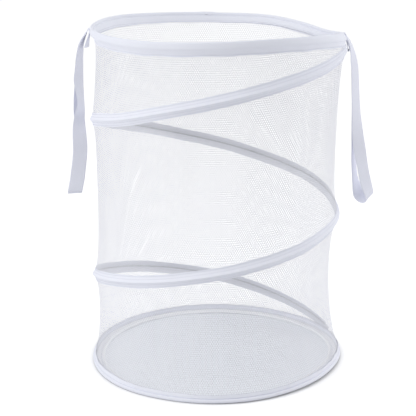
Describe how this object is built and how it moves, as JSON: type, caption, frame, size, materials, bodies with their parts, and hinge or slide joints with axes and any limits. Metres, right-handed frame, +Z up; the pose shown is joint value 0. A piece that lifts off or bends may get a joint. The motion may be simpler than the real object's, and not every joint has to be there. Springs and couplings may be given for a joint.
{
  "type": "pop up laundry hamper",
  "caption": "Round pop up hamper: a net drum on a sprung spiral, taped wire rim and base, cloth floor and webbing loop handles; it collapses flat.",
  "frame": {"origin": "the middle of the floor panel's underside, where the hamper stands", "axes": "+Z up the hamper's axis, +X towards the right handle, -Y towards the viewer of the picture"},
  "size_m": [0.5534, 0.46, 0.61],
  "materials": {
    "net": "white polyester hexagon net, half open",
    "binding_tape": "white woven polyester tape, faint ribs",
    "floor_cloth": "close plain weave, pale and slightly blue",
    "webbing": "flat white webbing with a fine herringbone",
    "spring_wire": "drawn spring steel",
    "wire_cap": "soft moulded cap"
  },
  "bodies": {
    "base": {"floor_panel": "floor_cloth", "floor_seam_tape": "binding_tape", "base_hoop": "spring_wire", "base_hoop_sleeve": "spring_wire", "base_binding": "binding_tape", "mesh_wall": "net", "spiral_wire": "spring_wire", "spiral_casing": "binding_tape", "spiral_lower_cap": "wire_cap"},
    "rim": {"rim_hoop": "spring_wire", "rim_hoop_sleeve": "spring_wire", "rim_binding": "binding_tape", "spiral_upper_cap": "wire_cap", "left_handle_tail": "webbing", "right_handle_tail": "webbing"},
    "left_loop": {"left_handle": "webbing"},
    "right_loop": {"right_handle": "webbing"}
  },
  "joints": [
    {"name": "collapse", "type": "slide", "parent": "base", "child": "rim", "axis": [0, 0, -1], "range_m": [0, 0.552], "stiffness_N_per_m": 40, "springref_m": -0.1, "deforming": ["mesh_wall", "spiral_wire", "spiral_casing"]},
    {"name": "left_handle_swing", "type": "hinge", "parent": "rim", "child": "left_loop", "pos_m": [-0.2251, 0, 0.5963], "axis": [0, 1, 0], "range_deg": [0, 158]},
    {"name": "right_handle_swing", "type": "hinge", "parent": "rim", "child": "right_loop", "pos_m": [0.2251, 0, 0.5963], "axis": [0, -1, 0], "range_deg": [0, 158]}
  ]
}
